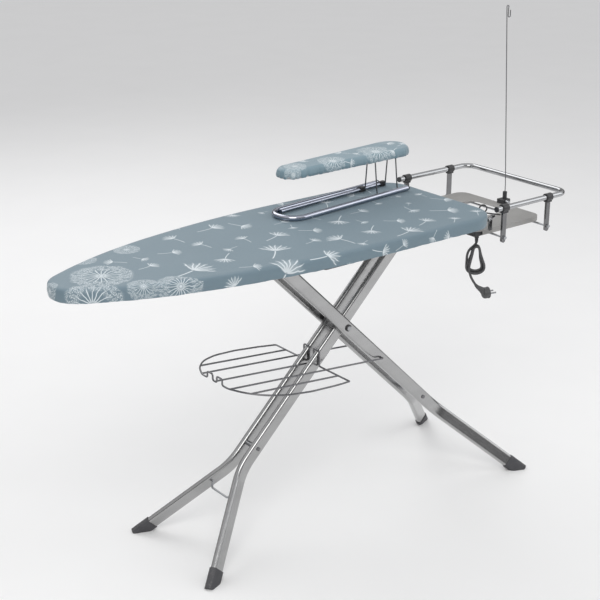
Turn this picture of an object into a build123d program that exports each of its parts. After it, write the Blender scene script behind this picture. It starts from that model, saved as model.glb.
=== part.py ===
# Ironing board on folding X legs, with an iron rest, laundry shelf, cord mast,
# power cord and a folding sleeve board. Millimetres, +Z up, the narrow nose towards -X.
# The origin is on the floor, midway along the whole length and on the centre plane.

import os
from math import cos, hypot, pi, radians, sin, tan

from build123d import *

os.makedirs("parts", exist_ok=True)

# ---- driving dimensions ----------------------------------------------------------------
board_top = 855.0          # working height
half_length = 795.0        # origin to the nose tip, and to the iron rail's far side
board_end_x = 478.0
board_half_width = 236.0
end_radius = 92.0
cover_thickness = 2.0
pad_thickness = 7.0
mesh_thickness = 0.6       # a solid sheet as heavy as the pierced one
skirt_height = 36.0
hem_width = 42.0
rim_thickness = 2.5

leg_angle = 44.7           # from the floor
pivot = (78.0, 553.0)      # x and z of the crossing bolt
hinge_z = 790.0            # height of both upper leg ends
tube_width, tube_depth, tube_wall = 38.0, 18.0, 1.2
inner_leg_y, outer_leg_y = 22.0, 47.0
inner_foot_y, outer_foot_y = 180.0, 217.0
bend_at = 490.0            # along the leg, from the bolt to the outward bend
bend_radius = 150.0
cap_floor = 26.0           # rubber between a leg's cut end and the floor, along the leg
rod_radius = 6.0
rail_y = 64.0
rail_thickness = 3.0

rest_rail_y = 204.0
rest_rail_radius = 8.0
rest_rail_start = 495.0
post_x = (524.0, 705.0)
tray_top = 787.0
tray_back_x = 727.0
tray_front_x = 446.0
tray_half_width = 166.0
tray_lip = 14.0

wire_radius = 2.5
shelf_edge_x = -8.0
shelf_edge_z = 452.0
shelf_tilt = 5.5
shelf_length = 330.0
shelf_half_width = 166.0
shelf_reach = 212.0        # from the shelf's edge to the holes in the outer legs

mast_foot = (739.0, -3.0, 790.0)
mast_top_z = 1378.0
mast_radius = 1.4

cord_radius = 3.5
cord_exit = (474.0, -150.0, 771.0)

sleeve_origin = (190.0, 124.0)
sleeve_yaw = 6.5
deck_yaw = 3.5
sleeve_top = 133.0         # above the ironing board's cover
bail_u = (134.0, 222.0)
bail_axis_z = 4.5
bail_bar_z = 104.0

mesh_top = board_top - cover_thickness - pad_thickness
mesh_bottom = mesh_top - mesh_thickness
skirt_bottom = board_top - skirt_height
bar_bottom = mesh_bottom - 6.0
upper_arm = (hinge_z - pivot[1]) / sin(radians(leg_angle))
lower_arm = pivot[1] / sin(radians(leg_angle))
hinge_x = pivot[0] + upper_arm * cos(radians(leg_angle))
slide_x = pivot[0] - upper_arm * cos(radians(leg_angle))


# ---- shared shapes ---------------------------------------------------------------------
def board_outline(inset=0.0):
    """The board seen from above, drawn in the current sketch, inset all round."""
    with BuildLine() as edges:
        shoulder = TangentArc((30, board_half_width), (-480, 176), tangent=(-1, 0))
        cheek = TangentArc(shoulder @ 1, (-half_length + 41, 70), tangent=shoulder % 1)
        TangentArc(cheek @ 1, (-half_length, 0), tangent=cheek % 1)
        side = Line(shoulder @ 0, (board_end_x - end_radius, board_half_width))
        corner = TangentArc(side @ 1, (board_end_x, board_half_width - end_radius), tangent=(1, 0))
        Line(corner @ 1, (board_end_x, 0))
        mirror(about=Plane.XZ)
    outline = make_face(edges.edges(), mode=Mode.PRIVATE)
    add(offset(outline, amount=-inset, mode=Mode.PRIVATE) if inset else outline)


def slab(inset, low, high):
    """A plate in the board's outline, inset all round, between two heights."""
    with BuildSketch(Plane.XY.offset(low)) as profile:
        board_outline(inset)
    extrude(profile.sketch, amount=high - low)


def rod(start, end, radius, mode=Mode.ADD):
    """A round bar from one point to another."""
    run = Vector(*end) - Vector(*start)
    with BuildSketch(Plane(origin=start, z_dir=run)) as profile:
        Circle(radius)
    extrude(profile.sketch, amount=run.length, mode=mode)


def cross_rod(x, z, low_y, high_y, radius, mode=Mode.ADD):
    """A round bar across the frame, parallel to Y."""
    rod((x, low_y, z), (x, high_y, z), radius, mode)


def bent_rod(points, bends, radius):
    """A round wire or tube along straight runs joined by arcs."""
    with BuildLine() as route:
        FilletPolyline(*points, radius=bends)
    with BuildSketch(Plane(origin=route.line @ 0, z_dir=route.line % 0)) as profile:
        Circle(radius)
    sweep(profile.sketch, path=route.line)


def block(low, high, mode=Mode.ADD):
    """A box given by its lowest and highest corners."""
    size = [b - a for a, b in zip(low, high)]
    middle = tuple((a + b) / 2 for a, b in zip(low, high))
    with Locations(middle):
        Box(*size, mode=mode)


def finish(piece, name):
    piece.part.label = name
    export_step(piece.part, f"parts/{name}.step")


# ---- the board -------------------------------------------------------------------------
with BuildPart() as board_cover:
    slab(0, skirt_bottom, board_top)
    with BuildSketch(Plane.XY.offset(skirt_bottom + cover_thickness)):
        board_outline(cover_thickness)
    extrude(amount=mesh_top + pad_thickness - skirt_bottom - cover_thickness, mode=Mode.SUBTRACT)
    with BuildSketch(Plane.XY.offset(skirt_bottom)):
        board_outline(hem_width)
    extrude(amount=cover_thickness, mode=Mode.SUBTRACT)
finish(board_cover, "board_cover")

inside = cover_thickness + 0.2

with BuildPart() as board_pad:
    slab(inside, mesh_top, mesh_top + pad_thickness)
finish(board_pad, "board_pad")

with BuildPart() as board_mesh:
    slab(inside, mesh_bottom, mesh_top)
    with BuildSketch(Plane.XY.offset(mesh_bottom)):
        with Locations((-20, 0)):
            with GridLocations(52, 44, 17, 7):
                SlotOverall(36, 14)
    extrude(amount=mesh_thickness, mode=Mode.SUBTRACT)
finish(board_mesh, "board_mesh")

with BuildPart() as board_rim:
    slab(inside, skirt_bottom + cover_thickness + 0.3, mesh_bottom)
    with BuildSketch(Plane.XY.offset(skirt_bottom)):
        board_outline(inside + rim_thickness)
    extrude(amount=skirt_height, mode=Mode.SUBTRACT)
finish(board_rim, "board_rim")

# cross bar position along the board, and half its length
cross_bars_at = {-420.0: 176.0, -60.0: 222.0, 170.0: 228.0, 400.0: 222.0}
with BuildPart() as cross_bars:
    for x, reach in cross_bars_at.items():
        block((x - 12, -reach, bar_bottom), (x + 12, reach, mesh_bottom))
finish(cross_bars, "cross_bars")

# ---- slide rails, hinge and height lock under the board -----------------------------------
release_x, release_z, release_radius = -100.0, 806.0, 4.0
slot_start = hinge_x - 2 * upper_arm * cos(radians(3.0))
rail_bottom = hinge_z - 16
with BuildPart() as guide_rails:
    for side in (-1, 1):
        low_y = side * rail_y - rail_thickness / 2
        block((-430, low_y, rail_bottom), (hinge_x + 24, low_y + rail_thickness, bar_bottom))
        with BuildSketch(Plane(origin=(0, low_y, hinge_z), x_dir=(1, 0, 0), z_dir=(0, 1, 0))):
            with Locations(((slot_start + slide_x) / 2, 0)):
                SlotCenterToCenter(slide_x - slot_start + 4, 2 * rod_radius + 1)
        extrude(amount=rail_thickness, mode=Mode.SUBTRACT)
        cross_rod(hinge_x, hinge_z, low_y, low_y + rail_thickness, rod_radius, Mode.SUBTRACT)
        cross_rod(release_x, release_z, low_y, low_y + rail_thickness, release_radius + 0.1, Mode.SUBTRACT)
finish(guide_rails, "guide_rails")

rail_outside = rail_y + rail_thickness / 2
with BuildPart() as hinge_rod:
    cross_rod(hinge_x, hinge_z, -rail_outside - 9, rail_outside + 9, rod_radius)
finish(hinge_rod, "hinge_rod")

with BuildPart() as hinge_nuts:
    for side in (-1, 1):
        with BuildSketch(Plane(origin=(hinge_x, side * rail_outside, hinge_z), z_dir=(0, side, 0))):
            RegularPolygon(10, 6)
            Circle(rod_radius, mode=Mode.SUBTRACT)
        extrude(amount=7)
finish(hinge_nuts, "hinge_nuts")

with BuildPart() as release_rod:
    cross_rod(release_x, release_z, -184, 72, release_radius)
finish(release_rod, "release_rod")

rack_low, rack_high = hinge_z + rod_radius + 2, 819.0
notch_pitch = (slide_x - slot_start) / 5
with BuildPart() as height_rack:
    with BuildSketch(Plane(origin=(0, 3, 0), x_dir=(1, 0, 0), z_dir=(0, -1, 0))):
        with Locations(((release_x + slot_start) / 2, (rack_low + rack_high) / 2)):
            Rectangle(release_x - slot_start + 16, rack_high - rack_low)
        with Locations((release_x, release_z)):
            Circle(11)
            Circle(release_radius, mode=Mode.SUBTRACT)
        for step in range(6):
            with Locations((slide_x - step * notch_pitch, rack_low)):
                Circle(rod_radius + 1.5, mode=Mode.SUBTRACT)
    extrude(amount=6)
finish(height_rack, "height_rack")

with BuildPart() as release_grip:
    block((release_x - 11, -184, release_z - 8), (release_x + 92, -160, release_z + 5))
    fillet(release_grip.edges().filter_by(Axis.Z), 8)
    chamfer(release_grip.faces().sort_by(Axis.Z)[-1].edges(), 2)
    cross_rod(release_x, release_z, -184, -160, release_radius, Mode.SUBTRACT)
finish(release_grip, "release_grip")


# ---- legs --------------------------------------------------------------------------------
def leg_frame(lean):
    """The plane of a leg pair: x runs down the legs from the bolt and y is across the frame."""
    down = (lean * cos(radians(leg_angle)), 0, -sin(radians(leg_angle)))
    normal = (sin(radians(leg_angle)), 0, lean * cos(radians(leg_angle)))
    return Plane(origin=(pivot[0], 0, pivot[1]), x_dir=down, z_dir=normal)


outer_frame, inner_frame = leg_frame(1), leg_frame(-1)


def tube_section(grow=0.0, mode=Mode.ADD):
    """The flat oval section of a leg, drawn in the current sketch, grown all round."""
    RectangleRounded(tube_width + 2 * grow, tube_depth + 2 * grow, 7 + grow, mode=mode)


def leg_tube(frame, leg_y, foot_y, side, bores):
    """One hollow leg, straight from its top to the bend and then running outwards to its foot."""
    top, bend, floor = (-upper_arm - 16, side * leg_y), (bend_at, side * leg_y), (lower_arm, side * foot_y)
    end_share = 1 - cap_floor / hypot(lower_arm - bend_at, foot_y - leg_y)
    foot = tuple(a + (b - a) * end_share for a, b in zip(bend, floor))
    with BuildLine(frame) as route:
        FilletPolyline(top, bend, foot, radius=bend_radius)
    with BuildSketch(Plane(origin=route.line @ 0, x_dir=frame.z_dir, z_dir=route.line % 0)) as profile:
        tube_section()
        tube_section(-tube_wall, Mode.SUBTRACT)
    sweep(profile.sketch, path=route.line)
    for x, z, radius in bores:
        cross_rod(x, z, side * (leg_y - tube_depth), side * (leg_y + tube_depth), radius, Mode.SUBTRACT)


bolt_radius = 4.0
hinge_tube_radius = 10.0
inner_bores = ((*pivot, bolt_radius + 0.1), (hinge_x, hinge_z, hinge_tube_radius))
outer_bores = ((*pivot, bolt_radius), (slide_x, hinge_z, rod_radius))
shelf_hole = outer_frame.from_local_coords(Vector(172, 0, 0))

for side, end_name in ((-1, "near"), (1, "far")):
    with BuildPart() as inner_leg:
        leg_tube(inner_frame, inner_leg_y, inner_foot_y, side, inner_bores)
    finish(inner_leg, f"inner_leg_{end_name}")

    with BuildPart() as outer_leg:
        leg_tube(outer_frame, outer_leg_y, outer_foot_y, side, outer_bores)
        cross_rod(
            shelf_hole.X, shelf_hole.Z, side * outer_leg_y, side * (outer_leg_y + tube_depth), 3.2, Mode.SUBTRACT
        )
    finish(outer_leg, f"outer_leg_{end_name}")

with BuildPart() as inner_hinge_tube:
    cross_rod(hinge_x, hinge_z, -60, 60, hinge_tube_radius)
    cross_rod(hinge_x, hinge_z, -60, 60, rod_radius + 0.06, Mode.SUBTRACT)
finish(inner_hinge_tube, "inner_hinge_tube")

with BuildPart() as slide_bar:
    cross_rod(slide_x, hinge_z, -76, 76, rod_radius)
finish(slide_bar, "slide_bar")

with BuildPart() as slide_rollers:
    for side in (-1, 1):
        rod((slide_x, side * (rail_outside + 1), hinge_z), (slide_x, side * 75, hinge_z), 10)
    cross_rod(slide_x, hinge_z, -76, 76, rod_radius, Mode.SUBTRACT)
finish(slide_rollers, "slide_rollers")

outer_face = outer_leg_y + tube_depth / 2
with BuildPart() as pivot_bolt:
    cross_rod(pivot[0], pivot[1], -outer_face - 2, outer_face + 2, bolt_radius)
    for side in (-1, 1):
        rod((pivot[0], side * (outer_face + 2), pivot[1]), (pivot[0], side * (outer_face + 7), pivot[1]), 7)
    fillet(pivot_bolt.edges().filter_by(GeomType.CIRCLE).group_by(Axis.Y)[0], 2)
    fillet(pivot_bolt.edges().filter_by(GeomType.CIRCLE).group_by(Axis.Y)[-1], 2)
finish(pivot_bolt, "pivot_bolt")

with BuildPart() as pivot_washers:
    for side in (-1, 1):
        for low, high, radius in ((31.4, 37.6, 13.0), (outer_face, outer_face + 2, 10.0)):
            rod((pivot[0], side * low, pivot[1]), (pivot[0], side * high, pivot[1]), radius)
    cross_rod(pivot[0], pivot[1], -60, 60, bolt_radius, Mode.SUBTRACT)
finish(pivot_washers, "pivot_washers")


def spacer(frame, along, half_span):
    """A cross tube between the two tubes of a leg pair."""
    at = frame.from_local_coords(Vector(along, 0, 0))
    cross_rod(at.X, at.Z, -half_span, half_span, 7)


spacer_at = 418.0
with BuildPart() as inner_spacer:
    spacer(inner_frame, spacer_at, inner_leg_y - tube_depth / 2)
finish(inner_spacer, "inner_spacer")

with BuildPart() as outer_spacer:
    spacer(outer_frame, spacer_at, outer_leg_y - tube_depth / 2)
finish(outer_spacer, "outer_spacer")


def leg_rivets(frame, leg_y):
    """Domed rivet heads on the outside of a leg pair, over the spacer's ends."""
    at = frame.from_local_coords(Vector(spacer_at, 0, 0))
    for side in (-1, 1):
        face = leg_y + tube_depth / 2
        rod((at.X, side * face, at.Z), (at.X, side * (face + 2.5), at.Z), 5.5)


with BuildPart() as inner_rivets:
    leg_rivets(inner_frame, inner_leg_y)
finish(inner_rivets, "inner_rivets")

with BuildPart() as outer_rivets:
    leg_rivets(outer_frame, outer_leg_y)
finish(outer_rivets, "outer_rivets")


def foot_run(frame, leg_y, foot_y, side):
    """The plane across a foot's end, with its z along the leg towards the floor."""
    bend = frame.from_local_coords(Vector(bend_at, side * leg_y, 0))
    foot = frame.from_local_coords(Vector(lower_arm, side * foot_y, 0))
    return Plane(origin=foot, x_dir=frame.z_dir, z_dir=foot - bend)


def foot_caps(frame, leg_y, foot_y):
    """A pair of moulded caps over the leg ends, each cut flat where it meets the floor."""
    for side in (-1, 1):
        end = foot_run(frame, leg_y, foot_y, side)
        with BuildSketch(end.offset(-44)) as outside:
            tube_section(2.6)
        extrude(outside.sketch, amount=58)
        with BuildSketch(end.offset(-44)) as socket:
            tube_section()
        extrude(socket.sketch, amount=44 - cap_floor, mode=Mode.SUBTRACT)
    split(bisect_by=Plane.XY)


with BuildPart() as inner_feet:
    foot_caps(inner_frame, inner_leg_y, inner_foot_y)
finish(inner_feet, "inner_feet")

with BuildPart() as outer_feet:
    foot_caps(outer_frame, outer_leg_y, outer_foot_y)
finish(outer_feet, "outer_feet")
print("legs", round(upper_arm, 2), round(hinge_x, 2), round(slide_x, 2), "shelf holes", shelf_hole)

# round wire brace between the inner legs, just above their bends' lower ends
brace_from = inner_frame.from_local_coords(Vector(545, 0, 0))
brace_y = inner_leg_y + (inner_foot_y - inner_leg_y) * (545 - bend_at) / (lower_arm - bend_at)
with BuildPart() as inner_brace:
    bent_rod(
        [
            (brace_from.X - 4, brace_y + 2, brace_from.Z - 4),
            (brace_from.X - 20, brace_y - 14, brace_from.Z - 22),
            (brace_from.X - 20, -brace_y + 14, brace_from.Z - 22),
            (brace_from.X - 4, -brace_y - 2, brace_from.Z - 4),
        ],
        10,
        3,
    )
finish(inner_brace, "inner_brace")

# ---- laundry shelf, in the tilted plane through the hooks and the outer legs' holes -----------
shelf_plane = Plane(
    origin=(shelf_edge_x, 0, shelf_edge_z),
    x_dir=(-cos(radians(shelf_tilt)), 0, sin(radians(shelf_tilt))),
    z_dir=(sin(radians(shelf_tilt)), 0, cos(radians(shelf_tilt))),
)


def on_shelf(along, across, above=0.0):
    """A point of the shelf: along from its hooked edge, across the frame, above its plane."""
    place = shelf_plane.from_local_coords(Vector(along, 0, above))
    return (place.X, across, place.Z)


leg_slope = radians(leg_angle)
centre_z_at_edge = pivot[1] - (pivot[0] - shelf_edge_x) * tan(leg_slope)
hook_rise = centre_z_at_edge + (tube_width / 2 + wire_radius + 0.3) / cos(leg_slope) - shelf_edge_z
hook_half = tube_depth / 2 + wire_radius + 0.9
hump_rise = 18.0


def hooked_line(along, rise, reach):
    """Points across the frame at one distance along the shelf, arching over both inner legs."""
    points = [on_shelf(along, -reach)]
    for centre in (-inner_leg_y, inner_leg_y):
        low, high = centre - hook_half, centre + hook_half
        points += [(x, y, z + up) for (x, y, z), up in (
            (on_shelf(along, low), 0), (on_shelf(along, low), rise), (on_shelf(along, high), rise),
            (on_shelf(along, high), 0))]
    return points + [on_shelf(along, reach)]


edge = hooked_line(0, hook_rise, shelf_half_width)
far_end = hooked_line(shelf_length, hump_rise, 62)
bulge = [(60, 174), (140, 178), (215, 170), (270, 146), (308, 106)]
near_side = [on_shelf(along, -across) for along, across in bulge]
far_side = [on_shelf(along, across) for along, across in reversed(bulge)]
start = on_shelf(30, -(shelf_half_width + 5))
shelf_points = [start] + near_side + far_end + far_side + list(reversed(edge)) + [start]


def loop_radii(points, tight):
    """A bend radius for each inner point: tight at the square corners, wide elsewhere."""
    radii = []
    for before, here, after in zip(points, points[1:], points[2:]):
        run_in, run_out = Vector(*here) - Vector(*before), Vector(*after) - Vector(*here)
        half_turn = radians(run_in.get_angle(run_out)) / 2
        widest = 0.45 * min(run_in.length, run_out.length) / tan(half_turn)
        radii.append(min(widest, tight) if half_turn > radians(30) else min(widest, 120.0))
    return radii


with BuildPart() as shelf_frame:
    bent_rod(shelf_points[:-1], loop_radii(shelf_points[:-1], 6.0), wire_radius)
    rod(shelf_points[-2], start, wire_radius)
finish(shelf_frame, "shelf_frame")

stub_y = outer_face + 10
with BuildPart() as shelf_wires:
    for across in (-118, 0, 118):
        low_end = on_shelf(0, across)
        far_along = shelf_length if across == 0 else 297
        rod(low_end, on_shelf(far_along, across), wire_radius)
    for side in (-1, 1):
        bent_rod(
            [
                on_shelf(326, side * stub_y),
                on_shelf(-shelf_reach, side * stub_y),
                on_shelf(-shelf_reach, side * (outer_face + 0.5)),
            ],
            5,
            wire_radius,
        )
finish(shelf_wires, "shelf_wires")
print("shelf hook rise", round(hook_rise, 2), "stub end", on_shelf(-shelf_reach, 0))

# ---- iron rest: rail, posts and tray -------------------------------------------------------
rail_far_x = half_length - rest_rail_radius
post_bottom, collar_bottom = 760.0, board_top - 14
rod_z = post_bottom + 8
with BuildPart() as iron_rail:
    bent_rod(
        [
            (rest_rail_start, -rest_rail_y, board_top),
            (rail_far_x, -rest_rail_y, board_top),
            (rail_far_x, rest_rail_y, board_top),
            (rest_rail_start, rest_rail_y, board_top),
        ],
        34,
        rest_rail_radius,
    )
finish(iron_rail, "iron_rail")

with BuildPart() as rail_end_plugs:
    for side in (-1, 1):
        tip = (rest_rail_start, side * rest_rail_y, board_top)
        rod(tip, (rest_rail_start - 4, side * rest_rail_y, board_top), rest_rail_radius)
finish(rail_end_plugs, "rail_end_plugs")

post_places = [(x, side * rest_rail_y) for x in post_x for side in (-1, 1)]
with BuildPart() as rail_collars:
    for x, y in post_places:
        block((x - 10, y - 7, collar_bottom), (x + 10, y + 7, board_top))
        rod((x - 11, y, board_top), (x + 11, y, board_top), rest_rail_radius + 3.5)
    for side in (-1, 1):
        line_start = (rest_rail_start, side * rest_rail_y, board_top)
        rod(line_start, (rail_far_x, side * rest_rail_y, board_top), rest_rail_radius, Mode.SUBTRACT)
finish(rail_collars, "rail_collars")

with BuildPart() as rail_posts:
    for x, y in post_places:
        with BuildSketch(Plane(origin=(x, y - 3.5, 0), x_dir=(1, 0, 0), z_dir=(0, 1, 0))):
            with Locations((0, -(post_bottom + collar_bottom) / 2)):
                Rectangle(15, collar_bottom - post_bottom)
            with Locations((0, -post_bottom)):
                Circle(7.5)
        extrude(amount=7)
    for x in post_x:
        cross_rod(x, rod_z, -230, 230, wire_radius + 0.5, Mode.SUBTRACT)
finish(rail_posts, "rail_posts")

with BuildPart() as tray_rods:
    for x in post_x:
        cross_rod(x, rod_z, -rest_rail_y - 4, rest_rail_y + 4, wire_radius + 0.5)
finish(tray_rods, "tray_rods")

with BuildPart() as rod_nuts:
    for x, y in post_places:
        outward = 1 if y > 0 else -1
        rod((x, y + outward * 4, rod_z), (x, y + outward * 10, rod_z), 5)
finish(rod_nuts, "rod_nuts")

tray_middle = (tray_front_x + tray_back_x) / 2
tray_size = (tray_back_x - tray_front_x, 2 * tray_half_width)
cut_out = ((508.0, 682.0), (-68.0, 78.0))
with BuildPart() as iron_tray:
    with BuildSketch(Plane.XY.offset(tray_top - tray_lip)):
        with Locations((tray_middle, 0)):
            RectangleRounded(*tray_size, 32)
    extrude(amount=tray_lip)
    with BuildSketch(Plane.XY.offset(tray_top - tray_lip)):
        with Locations((tray_middle, 0)):
            RectangleRounded(tray_size[0] - 4, tray_size[1] - 4, 30)
        with Locations((tray_front_x, 0)):
            Rectangle(70, 2 * tray_half_width)
    extrude(amount=tray_lip - 2, mode=Mode.SUBTRACT)
    with BuildSketch(Plane.XY.offset(tray_top - 2)):
        with Locations(((cut_out[0][0] + cut_out[0][1]) / 2, (cut_out[1][0] + cut_out[1][1]) / 2)):
            RectangleRounded(cut_out[0][1] - cut_out[0][0], cut_out[1][1] - cut_out[1][0], 36)
    extrude(amount=2, mode=Mode.SUBTRACT)
finish(iron_tray, "iron_tray")

bearer_y, bearer_size = 97.0, 13.0
bearer_low = tray_top - 2 - bearer_size
with BuildPart() as tray_bearers:
    for side in (-1, 1):
        near, far = side * bearer_y - bearer_size / 2, side * bearer_y + bearer_size / 2
        block((380, near, bearer_low), (716, far, bearer_low + bearer_size))
        block((381.2, near + 1.2, bearer_low + 1.2), (714.8, far - 1.2, bearer_low + bearer_size - 1.2),
              Mode.SUBTRACT)
    cross_rod(post_x[0], rod_z, -120, 120, wire_radius + 0.5, Mode.SUBTRACT)
    cross_rod(post_x[1], rod_z, -120, 120, wire_radius + 0.5, Mode.SUBTRACT)
finish(tray_bearers, "tray_bearers")

with BuildPart() as tray_brackets:
    for side in (-1, 1):
        face = side * (bearer_y - bearer_size / 2)
        low_y, high_y = sorted((face, face - side * 3))
        block((388, low_y, bearer_low), (430, high_y, bar_bottom))
        flange = sorted((face - side * 3, face - side * 22))
        block((388, flange[0], bar_bottom - 3), (412, flange[1], bar_bottom))
finish(tray_brackets, "tray_brackets")

# ---- cord mast -----------------------------------------------------------------------------
mast_x, mast_y, mast_low = mast_foot
screw_x, screw_z, screw_radius = mast_x - 8, tray_top + 6, 2.0
with BuildPart() as mast_clamp:
    block((mast_x - 20, mast_y - 14, tray_top - tray_lip - 9), (mast_x + 12, mast_y + 14, tray_top + 12))
    fillet(mast_clamp.edges().filter_by(Axis.Z), 3)
    block((mast_x - 24, mast_y - 16, tray_top - tray_lip), (tray_back_x, mast_y + 16, tray_top), Mode.SUBTRACT)
    rod((mast_x, mast_y, tray_top + 12), (mast_x, mast_y, tray_top + 34), 6.5)
    rod((mast_x, mast_y, mast_low), (mast_x, mast_y, tray_top + 40), mast_radius + 0.06, Mode.SUBTRACT)
    cross_rod(screw_x, screw_z, mast_y - 15, mast_y - 4, screw_radius + 0.06, Mode.SUBTRACT)
finish(mast_clamp, "mast_clamp")

with BuildPart() as clamp_screw:
    cross_rod(screw_x, screw_z, mast_y - 18, mast_y - 4.5, screw_radius)
    cross_rod(screw_x, screw_z, mast_y - 25, mast_y - 14.6, 5.5)
finish(clamp_screw, "clamp_screw")

lean_x, lean_y = -20.0, 14.0       # how far the sprung wire's top stands off plumb
hook_x, hook_y = mast_x + lean_x, mast_y + lean_y
mast_points = [
    (mast_x, mast_y, mast_low + 0.5),
    (mast_x, mast_y, tray_top + 60),
    (hook_x, hook_y, mast_top_z),
    (hook_x + 8, hook_y, mast_top_z),
    (hook_x + 7, hook_y, mast_top_z - 34),
    (hook_x + 16, hook_y, mast_top_z - 34),
    (hook_x + 16, hook_y, mast_top_z - 14),
]
with BuildPart() as cord_mast:
    bent_rod(mast_points, [400, 3.9, 3.8, 4.3, 4.3], mast_radius)
finish(cord_mast, "cord_mast")

# ---- socket, junction box and power cord -------------------------------------------------------
with BuildPart() as socket_outlet:
    rod((488, -176, tray_top + 32), (512, -176, tray_top + 40), 6)
    block((494, -179, tray_top), (504, -173, tray_top + 36))
finish(socket_outlet, "socket_outlet")

loop_centre = (492.0, -152.0, tray_top + 59.5)
with BuildPart() as cable_loop:
    with BuildSketch(Plane(origin=loop_centre, x_dir=(0.788, -0.616, 0), z_dir=(-0.616, -0.788, 0))) as hoop:
        Circle(12)
        Circle(9, mode=Mode.SUBTRACT)
    extrude(amount=3, both=True)
    rod((490, -151, tray_top + 48), (515, -199, tray_top + 48), 2)
finish(cable_loop, "cable_loop")

exit_x, exit_y, exit_z = cord_exit
with BuildPart() as junction_box:
    block((exit_x - 20, exit_y - 11, exit_z - 0), (exit_x + 20, exit_y + 24, tray_top - 2))
    fillet(junction_box.edges().filter_by(Axis.Z), 4)
finish(junction_box, "junction_box")

with BuildPart() as cord_gland:
    rod((exit_x, exit_y, exit_z), (exit_x, exit_y, exit_z - 8), 6.5)
finish(cord_gland, "cord_gland")

# the cord hangs in the upright plane that faces the long side and the nose at once
cord_plane = Plane(origin=(exit_x, exit_y, 0), x_dir=(0.788, -0.616, 0), z_dir=(-0.616, -0.788, 0))


def in_cord_plane(across, height, out=0.0):
    """A point of the hanging cord: across its plane, above the floor, out towards the viewer's side."""
    place = cord_plane.from_local_coords(Vector(across, height, out))
    return (place.X, place.Y, place.Z)


hank_top, hank_bottom, hank_radius = exit_z - 8, 652.0, 29.0
strand_bundle = 7.0         # half the thickness of the bundled strands
hank_centre = (-1.0, hank_bottom + hank_radius)
with BuildPart() as cord_hank:
    with BuildSketch(cord_plane) as eye:
        with Locations(hank_centre):
            Circle(hank_radius)
        with BuildLine():
            Polyline((-7, hank_top), (7, hank_top), (hank_centre[0] + hank_radius - 1.5, hank_centre[1] + 8),
                     (hank_centre[0] - hank_radius + 1.5, hank_centre[1] + 8), close=True)
        make_face()
        with Locations(hank_centre):
            Circle(hank_radius - 2 * strand_bundle, mode=Mode.SUBTRACT)
        with BuildLine():
            Polyline((-1, hank_top - 38), (hank_centre[0] + 13.5, hank_centre[1] + 6),
                     (hank_centre[0] - 13.5, hank_centre[1] + 6), close=True)
        make_face(mode=Mode.SUBTRACT)
    extrude(amount=strand_bundle, both=True)
finish(cord_hank, "cord_hank")

tail_points = [
    in_cord_plane(-18, 665, strand_bundle + cord_radius),
    in_cord_plane(-13, 648, strand_bundle + cord_radius + 1),
    in_cord_plane(-4, 632, strand_bundle + 3),
    in_cord_plane(6, 618, strand_bundle),
    in_cord_plane(18, 609, strand_bundle - 2),
]


def cord_radii(points):
    """Arcs as wide as the two runs beside each corner allow."""
    radii = []
    for before, here, after in zip(points, points[1:], points[2:]):
        run_in, run_out = Vector(*here) - Vector(*before), Vector(*after) - Vector(*here)
        radii.append(0.45 * min(run_in.length, run_out.length) / tan(radians(run_in.get_angle(run_out)) / 2))
    return radii


with BuildPart() as cord_tail:
    bent_rod(tail_points, cord_radii(tail_points), cord_radius)
finish(cord_tail, "cord_tail")
tail_length = cord_tail.part.volume / (pi * cord_radius**2)
print("cord tail radii", [round(r, 1) for r in cord_radii(tail_points)], "length by volume", round(tail_length, 1))

plug_centre = Vector(*in_cord_plane(33, 597, strand_bundle - 2))
pin_way = Vector(0.93, -0.36, 0.05).normalized()
with BuildPart() as plug_body:
    rod(tuple(plug_centre - pin_way * 11), tuple(plug_centre + pin_way * 9), 17)
    relief_end = Vector(*tail_points[-1])
    rod(tuple(relief_end), tuple(plug_centre - pin_way * 2), 6)
finish(plug_body, "plug_body")

across_pins = pin_way.cross(Vector(0, 0, 1)).normalized()
with BuildPart() as plug_pins:
    for side in (-1, 1):
        base = plug_centre + pin_way * 9 + across_pins * (9.5 * side)
        rod(tuple(base), tuple(base + pin_way * 19), 2.4)
finish(plug_pins, "plug_pins")

# ---- sleeve board on its folding wire stand -----------------------------------------------------
stand_plane = Plane(
    origin=(*sleeve_origin, board_top),
    x_dir=(cos(radians(sleeve_yaw)), sin(radians(sleeve_yaw)), 0),
    z_dir=(0, 0, 1),
)


def on_stand(u, v, w):
    """A point in the stand's own frame: along it, across it, above the board's cover."""
    place = stand_plane.from_local_coords(Vector(u, v, w))
    return (place.X, place.Y, place.Z)


base_half, base_length, base_radius, base_height = 51.0, 235.0, 7.5, 7.8
with BuildPart() as sleeve_base:
    bent_rod(
        [
            on_stand(base_length, -base_half, base_height),
            on_stand(-base_length, -base_half, base_height),
            on_stand(-base_length, base_half, base_height),
            on_stand(base_length - 20, base_half, base_height),
        ],
        base_half - 2,
        base_radius,
    )
finish(sleeve_base, "sleeve_base")

with BuildPart() as base_end_plugs:
    for u, v in ((base_length, -base_half), (base_length - 20, base_half)):
        rod(on_stand(u, v, base_height), on_stand(u + 4, v, base_height), base_radius)
finish(base_end_plugs, "base_end_plugs")

rod_v, rod_w = 36.0, 7.0
with BuildPart() as sleeve_rod:
    rod(on_stand(-190, rod_v, rod_w), on_stand(232, rod_v, rod_w), 4.5)
    rod(on_stand(-197, rod_v, rod_w), on_stand(-187, rod_v, rod_w), 5.6)
finish(sleeve_rod, "sleeve_rod")

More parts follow.
